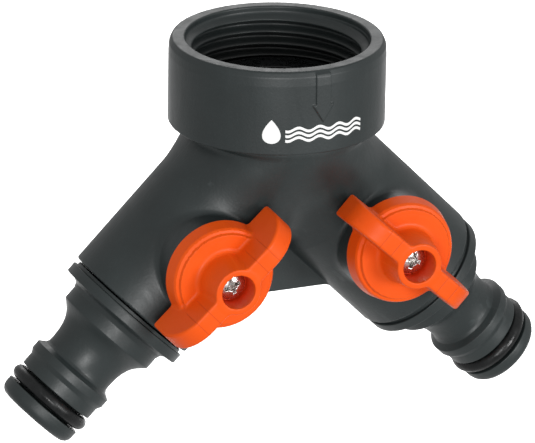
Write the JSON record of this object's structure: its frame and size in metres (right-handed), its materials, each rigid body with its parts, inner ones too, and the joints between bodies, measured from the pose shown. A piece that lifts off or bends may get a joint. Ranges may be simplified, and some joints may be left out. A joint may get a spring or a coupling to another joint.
{
  "type": "hose splitter",
  "caption": "Y-shaped garden tap splitter: threaded swivel inlet collar, angled arms with quarter-turn orange lever valves, and snap-in hose nipples with O-rings.",
  "frame": {"origin": "centre of the inlet mouth, in the plane of the collar's rim", "axes": "+Z out of the inlet mouth (towards the tap), -Y towards the levers, +X towards the right-hand outlet"},
  "size_m": [0.1034, 0.0459, 0.0723],
  "materials": {
    "grey_plastic": "satin moulded, dark slate grey",
    "orange_plastic": "satin gloss moulded orange",
    "black_rubber": "oiled O-ring rubber",
    "screw_steel": "bright zinc-plated",
    "white_acetal": "smooth white acetal"
  },
  "bodies": {
    "manifold": {"manifold_body": "grey_plastic", "inlet_washer": "black_rubber", "left_inlet_seat": "white_acetal", "left_outlet_seat": "white_acetal", "left_outlet_nipple": "grey_plastic", "left_nipple_oring": "black_rubber", "left_spigot_oring": "black_rubber", "right_inlet_seat": "white_acetal", "right_outlet_seat": "white_acetal", "right_outlet_nipple": "grey_plastic", "right_nipple_oring": "black_rubber", "right_spigot_oring": "black_rubber"},
    "inlet_collar": {"inlet_nut": "grey_plastic"},
    "left_valve": {"left_lever": "orange_plastic", "left_lever_screw": "screw_steel", "left_stem": "white_acetal", "left_stem_oring": "black_rubber", "left_valve_ball": "white_acetal"},
    "right_valve": {"right_lever": "orange_plastic", "right_lever_screw": "screw_steel", "right_stem": "white_acetal", "right_stem_oring": "black_rubber", "right_valve_ball": "white_acetal"}
  },
  "joints": [
    {"name": "collar_swivel", "type": "hinge", "parent": "manifold", "child": "inlet_collar", "pos_m": [0, 0, -0.0078], "axis": [0, 0, 1], "continuous": true},
    {"name": "left_tap", "type": "hinge", "parent": "manifold", "child": "left_valve", "pos_m": [-0.01731, -0.0159, -0.03752], "axis": [0, 1, 0], "range_deg": [0, 90]},
    {"name": "right_tap", "type": "hinge", "parent": "manifold", "child": "right_valve", "pos_m": [0.01731, -0.0159, -0.03752], "axis": [0, 1, 0], "range_deg": [0, 90]}
  ]
}
